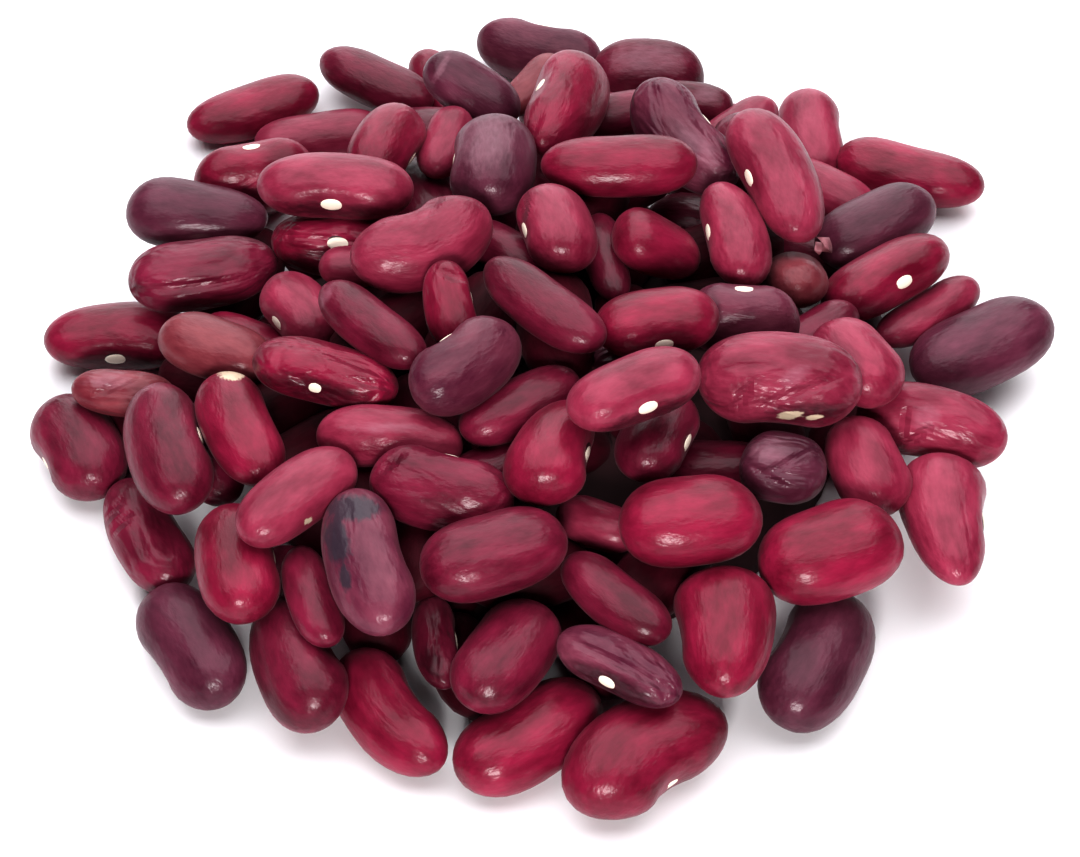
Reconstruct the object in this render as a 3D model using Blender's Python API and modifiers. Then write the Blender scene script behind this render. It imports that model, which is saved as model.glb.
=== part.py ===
# A loose heap of dried dark red kidney beans on a bare table.
# The heap is one solid: a low lumpy core with every bean that shows fused on.
# Lengths are in millimetres and angles in degrees until the meshes are made.

import math

import bmesh
import bpy
import numpy as np
from mathutils import Matrix
from mathutils.bvhtree import BVHTree

MM = 0.001
SEED = 7

# A typical bean
THICKNESS_TO_WIDTH = 0.78
END_FULLNESS = 3.1
USUAL_BEND = 26.0
BEAN_SIDES = (8, 6)
LOW_SIDES = (6, 5)
LOW_LAYER = -2
FACET_ALLOWANCE = 1.045
LENGTH_ALLOWANCE = 1.01

# The heap as a low dome
HEAP_RADIUS = 51.0
HEAP_RISE = 18.0
HEAP_MIDDLE_Y = 3.0
LOWEST_CENTRE = 3.4
DOME_POWER = 2.2

# The core under the beans
CORE_RADIUS = 38.0
CORE_HEIGHT = 14.0
CORE_HIDES = 1.0
CORE_LUMP = 1.2
CORE_SIDES = 24
CORE_STEPS = 8
SINK = 0.2
CUT_DEPTH = 40.0

# Beans under and behind the ones that show
FILL_TRIES = 14000
FILL_LONG = (14.0, 16.5)
FILL_WIDE = (7.6, 8.8)
FILL_DEPTH = 5.6
FILL_OVERLAP = 1.9
FILL_TILT = 12.0
FILL_MARGIN = 3.0
STRAY_OVERLAP = 1.6
CLOSE = 18.0

# Where the balls that stand for a bean sit along it, as shares of its half length
BALL_STATIONS = (-0.66, -0.34, 0.0, 0.34, 0.66)

# How the heap is settled
SETTLE_ROUNDS = 260
PAIRING_EVERY = 4
PRESS = 0.06
PRESS_SHOWN = 0.8
PRESS_FILL = 1.6
PRESS_UNTIL = 0.7
SHARED_PUSH = 0.45
HOLD_SIDEWAYS = 0.97
FILL_GIVE = 2.0
CONTACT = 0.40
SIDE_GIVE = 0.10
MOST_SIDE = 1.1
MOST_SINK = 2.5
LINE_SHARE = 0.3
COVER_SHARE = 0.36
EDGE_SHARE = 0.45
OPENING_SHARE = 0.4
COVER_REACH = 5.0
EDGE_REACH = 3.9
COVER_RADIUS = 34.0
ON_TABLE = 6.0
OPENING_REACH = 4.3
LEAN = 0.60
LEAN_NEAR = 24.0
NUDGE = 0.15
NUDGES = 150
NUDGE_NEAR = 22.0
CROSSINGS = 3

# The view that the layout was read in: a long lens, looking down at the heap
VIEW_MIDDLE_PX = (540.0, 428.5)
VIEW_FOCAL_PX = 4130.0
VIEW_DISTANCE = 450.0
VIEW_DOWN = 48.0
VIEW_AIM = (0.0, -3.0, 4.0)
SIGHT_SPAN = (0.6, 1.4)
SIGHT_STEPS = 50

# Spots in the picture where the bare table shows between beans, in pixels
OPENINGS = ((190, 532), (240, 650), (441, 708), (670, 655), (787, 628), (905, 498),
            (992, 477), (130, 250))

# Each bean that shows: its middle in the picture in pixels, the turn of its
# long axis there, the rise of that axis, the turn of its seam side away from
# the eye, its length and the breadth that shows in millimetres, its height
# above the dome and the bend of its body. AWAY is a bean that lies flat with
# its seam side hidden.
AWAY = None
COLUMNS = ("across_px", "down_px", "spin", "rise", "turn", "long", "breadth", "over", "bend")
BEANS = [
    (249, 104, 19, 0, AWAY, 16.4, 6.6, 0, 20),
    (378, 78, -25, 0, AWAY, 15.5, 6.1, 0, 20),
    (317, 135, 8, 0, AWAY, 15.5, 6.2, -2, 20),
    (255, 175, 10, 0, 62, 14.0, 8.2, 0, 24),
    (334, 185, -3, 0, -36, 17.3, 7.5, 3, 24),
    (384, 142, 58, -10, -90, 13.0, 7.5, 2, 20),
    (446, 86, -60, 0, AWAY, 13.0, 5.5, -2, 20),
    (473, 83, -33, -20, AWAY, 12.4, 6.8, 3, 20),
    (542, 51, -14, 0, 90, 15.5, 7.6, 0, 30),
    (644, 83, 0, 0, -90, 13.3, 9.5, 0, 20),
    (690, 104, -8, 0, -50, 10, 4.8, 0, 20),
    (737, 124, 35, 0, AWAY, 11.4, 5.1, 0, 20),
    (690, 132, -52, -10, 90, 17.0, 8.2, 2, 56),
    (773, 177, -68, -5, -60, 19.2, 8.1, 3, 22),
    (818, 133, 95, 0, AWAY, 14.0, 7.5, 0, 20),
    (909, 173, -14, 0, AWAY, 17.6, 7.0, 0, 22),
    (832, 190, -30, 0, AWAY, 13.0, 5.9, -3, 20),
    (876, 226, 28, 0, AWAY, 15.5, 8.0, 1, 20),
    (889, 275, 28, 0, -22, 16.5, 6.9, 2, 20),
    (800, 279, -80, 38, AWAY, 13.0, 7.2, -3, 20),
    (735, 232, -76, 0, -68, 15.2, 6.9, 0, 22),
    (745, 317, -3, 0, 66, 12.4, 8.0, 1, 26),
    (930, 312, 30, 0, AWAY, 14.5, 5.1, -1, 20),
    (978, 343, 24, 0, AWAY, 17.8, 8.9, 0, 20),
    (199, 216, -5, 0, AWAY, 16.0, 7.6, 0, 20),
    (197, 272, 9, 0, AWAY, 16.6, 8.0, 1, 22),
    (114, 338, 2, 0, -45, 16.5, 7.6, 0, 24),
    (213, 345, -18, 0, AWAY, 13.2, 6.8, 3, 20),
    (125, 392, -5, 0, AWAY, 11.5, 5.1, 0, 20),
    (250, 338, -20, 0, AWAY, 12.0, 4.7, -4, 20),
    (296, 311, -48, 0, -60, 11.2, 6.9, -1, 28),
    (340, 242, -5, 0, 0, 16.0, 7.3, -1, 24),
    (419, 233, 22, 0, 100, 16.5, 9.1, 2, 88),
    (491, 161, 85, 0, AWAY, 13.5, 9.7, 1, 16),
    (564, 102, 65, -10, 68, 18.2, 8.6, 3, 24),
    (532, 86, 50, 0, AWAY, 11.0, 4.7, -1, 20),
    (619, 162, 1, 0, AWAY, 17.4, 7.0, 2, 22),
    (554, 226, -68, 0, -66, 11.8, 8.0, 1, 30),
    (608, 255, -78, 0, AWAY, 13.0, 4.7, -3, 20),
    (660, 243, -20, -35, AWAY, 11.0, 6.6, -1, 12),
    (443, 140, 70, 0, AWAY, 11.0, 5.5, -2, 20),
    (620, 115, 10, 0, AWAY, 11.0, 5.5, -3, 20),
    (77, 448, -55, 0, -76, 14.2, 9.0, 0, 34),
    (173, 446, -70, 0, 90, 17.5, 8.6, 0, 26),
    (241, 427, -62, 0, AWAY, 16.0, 7.6, 2, 22),
    (150, 538, -58, 0, AWAY, 16.4, 7.6, 0, 22),
    (243, 564, -78, 0, AWAY, 15.0, 8.6, 0, 20),
    (296, 497, 37, 0, -60, 15.5, 7.2, 3, 20),
    (315, 595, -68, 0, AWAY, 13.5, 5.1, -1, 20),
    (370, 561, -72, 0, 90, 19.1, 8.5, 3, 22),
    (438, 645, -80, 0, AWAY, 12.0, 4.8, 0, 20),
    (442, 488, -12, 0, 100, 15.5, 8.5, 1, 26),
    (493, 552, 16, 0, AWAY, 15.6, 8.6, 2, 20),
    (388, 440, -5, 0, -90, 15.5, 7.0, -2, 20),
    (601, 523, -20, 0, AWAY, 9.4, 5.1, -2, 20),
    (691, 518, 6, 0, AWAY, 14.8, 9.3, 2, 16),
    (616, 598, -38, 0, AWAY, 14.5, 5.9, 1, 20),
    (724, 632, 88, 0, AWAY, 15.5, 10.1, 1, 10),
    (824, 553, 18, 0, AWAY, 15.4, 10.0, 0, 20),
    (784, 466, -10, 0, AWAY, 9.2, 7.5, 0, 10),
    (873, 459, -68, -10, AWAY, 12.2, 8.0, 2, 16),
    (930, 429, -12, 0, -100, 16.5, 8.3, 0, 34),
    (948, 520, -84, 0, AWAY, 17.0, 8.8, 0, 20),
    (815, 658, 58, 0, 90, 17.8, 10.2, 1, 20),
    (618, 668, -26, 0, -45, 14.5, 5.9, 0, 24),
    (505, 655, 52, 0, AWAY, 14.5, 8.8, 0, 20),
    (530, 738, 31, 0, AWAY, 17.6, 9.0, 0, 24),
    (650, 760, 29, 0, -68, 18.8, 10.3, 0, 80),
    (392, 712, -50, 0, 95, 17.5, 8.0, 0, 46),
    (300, 661, -62, 0, 76, 16.8, 8.8, 0, 28),
    (191, 651, -52, 0, -90, 16.5, 9.1, 0, 20),
    (373, 322, -38, 0, AWAY, 15.5, 5.8, 2, 22),
    (463, 363, 37, 0, 95, 14.0, 8.2, 2, 38),
    (325, 372, -14, 0, -30, 16.3, 6.7, 1, 22),
    (450, 303, 100, 20, AWAY, 10, 5.5, 0, 12),
    (352, 265, 0, 0, AWAY, 7.5, 4.7, -2, 20),
    (543, 303, -37, 0, AWAY, 17.0, 6.1, 2, 24),
    (507, 250, -30, 0, AWAY, 11.0, 5.1, -3, 20),
    (520, 405, 27, 0, AWAY, 14.5, 6.1, -1, 20),
    (657, 323, 8, 0, -45, 13.5, 7.3, 0, 26),
    (640, 352, 10, 0, AWAY, 11.0, 4.7, -3, 20),
    (634, 391, 21, 0, -40, 15.0, 7.2, 2, 24),
    (778, 384, -4, 0, -80, 17.5, 10.1, 2, 26),
    (856, 365, -50, 0, AWAY, 12.0, 8.0, 0, 20),
    (555, 450, 66, 0, -70, 13.5, 8.2, 1, 26),
    (654, 440, 60, 0, -65, 12, 7.4, -1, 20),
    (715, 465, 0, 0, AWAY, 12.0, 5.5, -3, 20),
    (498, 465, 20, 0, AWAY, 12.0, 5.5, -3, 20),
    (815, 332, 30, 0, AWAY, 12.0, 5.1, -3, 20),
    (212, 452, -76, 0, AWAY, 15.0, 6.5, -3, 20),
    (287, 597, -78, 0, AWAY, 13.0, 6.5, -5, 20),
]


def clear_scene():
    for thing in list(bpy.data.objects):
        bpy.data.objects.remove(thing, do_unlink=True)


def view_axes():
    down = math.radians(VIEW_DOWN)
    across = np.array([1.0, 0.0, 0.0])
    up = np.array([0.0, math.sin(down), math.cos(down)])
    toward = np.array([0.0, -math.cos(down), math.sin(down)])
    return across, up, toward


ACROSS, UP, TOWARD = view_axes()
EYE = np.array(VIEW_AIM) + VIEW_DISTANCE * TOWARD


def dome_height(x, y):
    reach = math.hypot(x, y - HEAP_MIDDLE_Y) / HEAP_RADIUS
    return LOWEST_CENTRE + HEAP_RISE * max(0.0, 1.0 - reach ** DOME_POWER)


def place_on_dome(across_px, down_px, over):
    """Walk down a sight line to the dome and return the point met."""
    ray = ((across_px - VIEW_MIDDLE_PX[0]) / VIEW_FOCAL_PX * ACROSS
           - (down_px - VIEW_MIDDLE_PX[1]) / VIEW_FOCAL_PX * UP - TOWARD)
    ray = ray / np.linalg.norm(ray)
    near, far = SIGHT_SPAN[0] * VIEW_DISTANCE, SIGHT_SPAN[1] * VIEW_DISTANCE
    for _ in range(SIGHT_STEPS):
        middle = (near + far) / 2
        point = EYE + middle * ray
        if point[2] > max(LOWEST_CENTRE, dome_height(point[0], point[1]) + over):
            near = middle
        else:
            far = middle
    return EYE + near * ray


def turned(spin, rise, turn):
    """Axes of a bean as columns: long axis, seam side, flat side."""
    spin, rise = math.radians(spin), math.radians(rise)
    seen = math.cos(spin) * ACROSS + math.sin(spin) * UP
    slope = math.hypot(seen[2], TOWARD[2])
    tip = math.asin(max(-1.0, min(1.0, math.sin(rise) / slope))) - math.atan2(seen[2], TOWARD[2])
    long_axis = math.cos(tip) * seen + math.sin(tip) * TOWARD
    face = TOWARD - (TOWARD @ long_axis) * long_axis
    face = face / np.linalg.norm(face)
    other = np.cross(face, long_axis)
    if turn is AWAY:
        turn = math.atan2(-face[2], other[2])
        turn = turn + math.pi if math.cos(turn) > 0 else turn
    else:
        turn = math.radians(turn)
    seam = math.cos(turn) * face + math.sin(turn) * other
    axes = np.stack([long_axis, seam, np.cross(long_axis, seam)], axis=1)
    return axes, math.hypot(math.sin(turn), THICKNESS_TO_WIDTH * math.cos(turn))


def touch_balls(bean):
    """Ten balls that stand for a bean while the heap settles."""
    stations = np.array(BALL_STATIONS)
    swell = np.sqrt(1 - np.abs(stations) ** END_FULLNESS)
    radius = bean["wide"] * THICKNESS_TO_WIDTH / 2 * swell
    side = bean["wide"] / 2 * swell - radius
    bend = math.radians(bean["bend"])
    arc = bean["long"] / bend
    run = arc * np.sin(bend * stations / 2)
    sag = arc * (1 - np.cos(bend * stations / 2)) - arc * (1 - math.cos(bend / 2)) / 2
    flat = np.zeros(len(stations))
    low = np.stack([run, sag - side, flat], axis=1)
    high = np.stack([run, sag + side, flat], axis=1)
    return np.concatenate([low, high]) @ bean["axes"].T, np.concatenate([radius, radius])


def read_beans():
    beans = []
    for row in BEANS:
        bean = dict(zip(COLUMNS, row))
        bean["place"] = place_on_dome(bean["across_px"], bean["down_px"], bean["over"])
        bean["axes"], part_seen = turned(bean["spin"], bean["rise"], bean["turn"])
        bean["wide"] = bean["breadth"] / part_seen
        bean["shows"] = True
        beans.append(bean)
    return beans


def deepest(first, second):
    """Deepest overlap of two sets of balls."""
    gap = second[0][None, :, :] - first[0][:, None, :]
    far = np.linalg.norm(gap, axis=2)
    into = first[1][:, None] + second[1][None, :] - far
    return into.max()


def seen_at(point):
    """Where a point shows, in millimetres at the aim's distance, and how far off it is."""
    away = np.asarray(point) - EYE
    depth = -(away @ TOWARD)
    return np.stack([away @ ACROSS, away @ UP], axis=-1) * (VIEW_DISTANCE / depth)[..., None], depth


def shown_lines(beans):
    """The long axis of each bean that shows, as it lies in the picture."""
    showing = [bean for bean in beans if bean["shows"]]
    runs = np.array([bean["long"] * LINE_SHARE * bean["axes"][:, 0] for bean in showing])
    spots = np.array([bean["place"] for bean in showing])
    ends = np.stack([seen_at(spots - runs)[0], seen_at(spots + runs)[0]], axis=1)
    return ends, seen_at(spots)[1]


def is_hidden(bean, shown):
    """True where shown beans cover most of a bean."""
    outward = math.hypot(bean["place"][0], bean["place"][1] - HEAP_MIDDLE_Y)
    inside = outward < COVER_RADIUS
    reach = COVER_REACH if inside else EDGE_REACH
    run = bean["long"] * (COVER_SHARE if inside else EDGE_SHARE) * bean["axes"][:, 0]
    points, depths = seen_at(np.stack([bean["place"] - run, bean["place"], bean["place"] + run]))
    ends, far = shown
    start, line = ends[:, 0], ends[:, 1] - ends[:, 0]
    off = points[:, None] - start[None]
    along = np.clip((off * line).sum(axis=2) / (line * line).sum(axis=1), 0, 1)
    miss = np.linalg.norm(off - along[..., None] * line, axis=2)
    behind = ((miss < reach) & (far[None] < depths[:, None])).any(axis=1)
    return behind.sum() >= (2 if inside else 3)


def blocks_opening(bean):
    """True where a bean would cover a spot where the table shows."""
    run = bean["long"] * OPENING_SHARE * bean["axes"][:, 0]
    ends = seen_at(np.stack([bean["place"] - run, bean["place"] + run]))[0]
    line = ends[1] - ends[0]
    spots = (np.array(OPENINGS) - VIEW_MIDDLE_PX) * (1, -1) * VIEW_DISTANCE / VIEW_FOCAL_PX
    along = np.clip((spots - ends[0]) @ line / (line @ line), 0, 1)
    return np.linalg.norm(spots - ends[0] - along[:, None] * line, axis=1).min() < OPENING_REACH


def add_fill(beans):
    """Put beans under the ones that show, where there is room for them."""
    draw = np.random.default_rng(SEED)
    shown = shown_lines(beans)
    for bean in beans:
        offsets, radii = touch_balls(bean)
        bean["balls"] = (offsets + bean["place"], radii)
    for _ in range(FILL_TRIES):
        angle = draw.uniform(0, 2 * math.pi)
        reach = (HEAP_RADIUS - FILL_MARGIN) * math.sqrt(draw.uniform(0, 1))
        x, y = reach * math.cos(angle), HEAP_MIDDLE_Y + reach * math.sin(angle)
        top = max(LOWEST_CENTRE, dome_height(x, y) - FILL_DEPTH)
        bean = {"long": draw.uniform(*FILL_LONG), "wide": draw.uniform(*FILL_WIDE),
                "bend": USUAL_BEND, "shows": False,
                "place": np.array([x, y, draw.uniform(LOWEST_CENTRE, top + 0.01)]),
                "axes": turned(draw.uniform(-180, 180), draw.uniform(-FILL_TILT, FILL_TILT), AWAY)[0]}
        if not is_hidden(bean, shown) or blocks_opening(bean):
            continue
        offsets, radii = touch_balls(bean)
        bean["balls"] = (offsets + bean["place"], radii)
        close = [other for other in beans
                 if np.linalg.norm(other["place"] - bean["place"]) < CLOSE]
        if all(deepest(bean["balls"], other["balls"]) < FILL_OVERLAP for other in close):
            beans.append(bean)
    return beans


def settle(beans):
    """Push beans apart and down until they lie on each other and on the table."""
    count = len(beans)
    places = np.array([bean["place"] for bean in beans])
    start = places.copy()
    parts = [touch_balls(bean) for bean in beans]
    offsets = np.array([part[0] for part in parts])
    radii = np.array([part[1] for part in parts])
    shows = np.array([bean["shows"] for bean in beans])
    along = np.outer(TOWARD, TOWARD)
    give = np.where(shows[:, None, None], along + SIDE_GIVE * (np.eye(3) - along), FILL_GIVE * np.eye(3))
    length = np.array([bean["long"] for bean in beans])
    lift = np.where(shows[:, None], TOWARD / TOWARD[2], np.array([0.0, 0.0, 1.0]))
    for step in range(SETTLE_ROUNDS):
        if step % PAIRING_EVERY == 0:
            apart = np.linalg.norm(places[:, None] - places[None], axis=2)
            one, two = np.nonzero(np.triu(apart < (length[:, None] + length[None]) / 2 + 1.0, 1))
        press = PRESS if step < SETTLE_ROUNDS * PRESS_UNTIL else 0.0
        above = (places - start) @ TOWARD > -MOST_SINK
        places = places - press * lift * np.where(shows, PRESS_SHOWN * above, PRESS_FILL)[:, None]
        balls = places[:, None] + offsets
        gap = balls[two][:, None, :, :] - balls[one][:, :, None, :]
        far = np.linalg.norm(gap, axis=3) + 1e-9
        into = (radii[one][:, :, None] + radii[two][:, None, :] - far - CONTACT).reshape(len(one), -1)
        worst = into.argmax(axis=1)
        depth = into[np.arange(len(one)), worst]
        way = (gap / far[..., None]).reshape(len(one), -1, 3)[np.arange(len(one)), worst]
        hit = depth > 0
        first, second, depth, way = one[hit], two[hit], depth[hit], way[hit]
        ease = np.einsum("ni,nij,nj->n", way, give[first] + give[second], way)
        pull = (depth / ease)[:, None]
        move = np.zeros((count, 3))
        times = np.zeros(count)
        np.add.at(move, first, -np.einsum("nij,nj->ni", give[first], way) * pull)
        np.add.at(move, second, np.einsum("nij,nj->ni", give[second], way) * pull)
        np.add.at(times, first, 1)
        np.add.at(times, second, 1)
        places = places + move / np.maximum(1.0, SHARED_PUSH * times)[:, None]
        drift = places - start
        aside = drift - (drift @ TOWARD)[:, None] * TOWARD
        size = np.linalg.norm(aside, axis=1)
        trim = np.where(shows & (size > MOST_SIDE), MOST_SIDE / np.maximum(size, 1e-9), 1.0)
        trim = np.where(shows, trim * HOLD_SIDEWAYS, 1.0)
        places = places - aside * (1 - trim)[:, None]
        sunk = -((places[:, None] + offsets)[:, :, 2] - radii).min(axis=1)
        places = places + np.maximum(sunk, 0.0)[:, None] * lift
    for bean, place in zip(beans, places):
        bean["place"] = place
    return beans


def drop_stray(beans):
    """Leave out fill beans that run deep into another or came out at the side."""
    for bean in beans:
        offsets, radii = touch_balls(bean)
        bean["balls"] = (offsets + bean["place"], radii)
    shown = shown_lines(beans)
    kept = [bean for bean in beans if bean["shows"]]
    for bean in beans:
        if bean["shows"]:
            continue
        outward = math.hypot(bean["place"][0], bean["place"][1] - HEAP_MIDDLE_Y)
        if blocks_opening(bean) or outward > COVER_RADIUS and not is_hidden(bean, shown):
            continue
        close = [other for other in kept
                 if np.linalg.norm(other["place"] - bean["place"]) < CLOSE]
        if all(deepest(bean["balls"], other["balls"]) < STRAY_OVERLAP for other in close):
            kept.append(bean)
    return kept


def lean_together(beans):
    """Slide each bean that touches nothing against the nearest of the others."""
    order = sorted(beans, key=lambda bean: np.linalg.norm(bean["place"] - (0.0, HEAP_MIDDLE_Y, 0.0)))
    held, waiting = order[:1], order[1:]
    overlaps = [deepest(bean["balls"], held[0]["balls"]) for bean in waiting]
    nearest = [held[0]] * len(waiting)
    while waiting:
        pick = int(np.argmax(overlaps))
        bean, overlap, other = waiting.pop(pick), overlaps.pop(pick), nearest.pop(pick)
        if overlap < LEAN:
            gap = other["balls"][0][None] - bean["balls"][0][:, None]
            far = np.linalg.norm(gap, axis=2)
            into = bean["balls"][1][:, None] + other["balls"][1][None] - far
            one, two = np.unravel_index(into.argmax(), into.shape)
            way = gap[one, two] / far[one, two]
            if bean["place"][2] < ON_TABLE:
                way = way * np.array([1.0, 1.0, 0.0]) / max(0.3, way[0] ** 2 + way[1] ** 2)
            shift = way * (LEAN - overlap)
            bean["place"] = bean["place"] + shift
            bean["balls"] = (bean["balls"][0] + shift, bean["balls"][1])
        held.append(bean)
        for number, rest in enumerate(waiting):
            if np.linalg.norm(rest["place"] - bean["place"]) < LEAN_NEAR:
                deep = deepest(rest["balls"], bean["balls"])
                if deep > overlaps[number]:
                    overlaps[number], nearest[number] = deep, bean
    return beans


def centre_of(beans):
    """Ground point under the middle of the heap's outline."""
    low = np.min([(bean["balls"][0] - bean["balls"][1][:, None]).min(axis=0) for bean in beans], axis=0)
    high = np.max([(bean["balls"][0] + bean["balls"][1][:, None]).max(axis=0) for bean in beans], axis=0)
    return (low + high) / 2


def bean_mesh(bean, name):
    """One bean with few sides, bent and set in its place."""
    body = bmesh.new()
    segments, rings = BEAN_SIDES if bean.get("over", LOW_LAYER) > LOW_LAYER else LOW_SIDES
    bmesh.ops.create_uvsphere(body, u_segments=segments, v_segments=rings, radius=1.0,
                              matrix=Matrix.Rotation(math.pi / 2, 4, "Y"))
    for vert in body.verts:
        along = max(-1.0, min(1.0, vert.co.x))
        plain = math.sqrt(max(1e-9, 1 - along * along))
        full = math.sqrt(max(0.0, 1 - abs(along) ** END_FULLNESS)) / plain
        vert.co.x = along * bean["long"] / 2 * LENGTH_ALLOWANCE * MM
        vert.co.y *= full * bean["wide"] / 2 * FACET_ALLOWANCE * MM
        vert.co.z *= full * bean["wide"] * THICKNESS_TO_WIDTH / 2 * FACET_ALLOWANCE * MM
    mesh = bpy.data.meshes.new(name)
    body.to_mesh(mesh)
    body.free()
    piece = bpy.data.objects.new(name, mesh)
    bpy.context.collection.objects.link(piece)
    bow = piece.modifiers.new("Bow", "SIMPLE_DEFORM")
    bow.deform_method = "BEND"
    bow.deform_axis = "Z"
    bow.angle = math.radians(bean["bend"])
    bpy.context.view_layer.objects.active = piece
    bpy.ops.object.select_all(action="DESELECT")
    piece.select_set(True)
    bpy.ops.object.modifier_apply(modifier=bow.name)
    bend = math.radians(bean["bend"])
    sag = bean["long"] / bend * (1 - math.cos(bend / 2)) / 2
    place = bean["place"] - sag * bean["axes"][:, 1]
    turn = Matrix([list(row) + [0.0] for row in bean["axes"]] + [[0, 0, 0, 1]])
    piece.data.transform(Matrix.Translation([value * MM for value in place]) @ turn)
    return piece


def core_top(place):
    """Height of the core under or over a point."""
    reach = math.hypot(place[0], place[1] - HEAP_MIDDLE_Y) / CORE_RADIUS
    return CORE_HEIGHT * math.sqrt(max(0.0, 1.0 - reach * reach))


def core_mesh(shift):
    """The low mound that the beans lie on, flat underneath."""
    body = bmesh.new()
    bmesh.ops.create_uvsphere(body, u_segments=CORE_SIDES, v_segments=CORE_STEPS, radius=1.0)
    for vert in body.verts:
        angle = math.atan2(vert.co.y, vert.co.x)
        reach = CORE_RADIUS + CORE_LUMP * math.sin(5 * angle) - CORE_LUMP * math.cos(3 * angle)
        vert.co.x = (vert.co.x * reach - shift[0]) * MM
        vert.co.y = (vert.co.y * reach + HEAP_MIDDLE_Y - shift[1]) * MM
        vert.co.z *= CORE_HEIGHT * MM
    bmesh.ops.triangulate(body, faces=body.faces)
    mesh = bpy.data.meshes.new("bean_heap")
    body.to_mesh(mesh)
    body.free()
    heap = bpy.data.objects.new("bean_heap", mesh)
    bpy.context.collection.objects.link(heap)
    return heap


def apply_boolean(heap, operation, solver, **what):
    cut = heap.modifiers.new("Join", "BOOLEAN")
    cut.operation = operation
    cut.solver = solver
    for key, value in what.items():
        setattr(cut, key, value)
    bpy.ops.object.select_all(action="DESELECT")
    heap.select_set(True)
    bpy.context.view_layer.objects.active = heap
    bpy.ops.object.modifier_apply(modifier=cut.name)


def tree_of(piece):
    mesh = piece.data
    return BVHTree.FromPolygons([vert.co for vert in mesh.vertices],
                                [list(face.vertices) for face in mesh.polygons])


def tie_in(heap, pieces, beans):
    """Nudge beans that miss the rest by a hair until every one is fused."""
    trees = [tree_of(piece) for piece in pieces]
    core = tree_of(heap)
    for _ in range(NUDGES):
        fused = {number for number, tree in enumerate(trees) if len(tree.overlap(core)) > CROSSINGS}
        grown = set(fused)
        while grown:
            grown = {number for number in range(len(pieces)) if number not in fused
                     and any(np.linalg.norm(beans[number]["place"] - beans[other]["place"]) < NUDGE_NEAR
                             and len(trees[number].overlap(trees[other])) > CROSSINGS for other in grown)}
            fused |= grown
        loose = [number for number in range(len(pieces)) if number not in fused]
        if not loose:
            return
        pairs = [(deepest(beans[one]["balls"], beans[two]["balls"]), one, two)
                 for one in loose for two in fused
                 if np.linalg.norm(beans[one]["place"] - beans[two]["place"]) < NUDGE_NEAR]
        pick = max(pairs)
        one, two = beans[pick[1]], beans[pick[2]]
        gap = two["balls"][0][None] - one["balls"][0][:, None]
        far = np.linalg.norm(gap, axis=2)
        into = one["balls"][1][:, None] + two["balls"][1][None] - far
        way = gap[np.unravel_index(into.argmax(), into.shape)]
        if one["place"][2] < ON_TABLE:
            way = way * np.array([1.0, 1.0, 0.0])
        shift = way / np.linalg.norm(way) * NUDGE
        one["place"] = one["place"] + shift
        one["balls"] = (one["balls"][0] + shift, one["balls"][1])
        pieces[pick[1]].data.transform(Matrix.Translation([value * MM for value in shift]))
        trees[pick[1]] = tree_of(pieces[pick[1]])


def join_beans(heap, beans, shift):
    """Fuse the beans onto the core with one union."""
    group = bpy.data.collections.new("beans")
    bpy.context.scene.collection.children.link(group)
    used = [bean for bean in beans
            if bean["shows"] or bean["place"][2] > core_top(bean["place"]) - CORE_HIDES]
    pieces = []
    for number, bean in enumerate(used):
        bean["place"] = bean["place"] - shift
        bean["balls"] = (bean["balls"][0] - shift, bean["balls"][1])
        piece = bean_mesh(bean, "bean_%03d" % number)
        bpy.context.collection.objects.unlink(piece)
        group.objects.link(piece)
        piece.hide_render = True
        piece.display_type = "WIRE"
        pieces.append(piece)
    tie_in(heap, pieces, used)
    apply_boolean(heap, "UNION", "MANIFOLD", operand_type="COLLECTION", collection=group)
    for piece in list(group.objects):
        bpy.data.objects.remove(piece, do_unlink=True)
    bpy.data.collections.remove(group)


def flatten_foot(heap):
    """Cut everything below the table top away."""
    bpy.ops.mesh.primitive_cube_add(size=1.0, location=(0, 0, -CUT_DEPTH * MM / 2))
    block = bpy.context.active_object
    block.name = "table_cut"
    block.scale = (4 * CORE_RADIUS * MM, 4 * CORE_RADIUS * MM, CUT_DEPTH * MM)
    bpy.context.view_layer.update()
    apply_boolean(heap, "DIFFERENCE", "MANIFOLD", object=block)
    bpy.data.objects.remove(block, do_unlink=True)


def centre_on_table(heap):
    """Put the middle of the outline over the origin and the foot at zero."""
    spots = np.array([vert.co for vert in heap.data.vertices])
    low, high = spots.min(axis=0), spots.max(axis=0)
    heap.data.transform(Matrix.Translation((-(low[0] + high[0]) / 2, -(low[1] + high[1]) / 2, -low[2])))


def bean_colour():
    skin = bpy.data.materials.new("kidney_bean")
    skin.use_nodes = True
    shader = skin.node_tree.nodes["Principled BSDF"]
    shader.inputs["Base Color"].default_value = (0.20, 0.012, 0.030, 1.0)
    shader.inputs["Roughness"].default_value = 0.32
    shader.inputs["Metallic"].default_value = 0.0
    return skin


def build():
    clear_scene()
    beans = lean_together(drop_stray(settle(add_fill(read_beans()))))
    centre = centre_of(beans)
    shift = np.array([centre[0], centre[1], SINK])
    heap = core_mesh(shift)
    join_beans(heap, beans, shift)
    flatten_foot(heap)
    centre_on_table(heap)
    heap.data.materials.clear()
    heap.data.materials.append(bean_colour())
    return heap


if __name__ == "__main__":
    build()
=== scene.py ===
import math

import bpy
import numpy as np
from mathutils import Euler, Matrix, Vector


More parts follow.
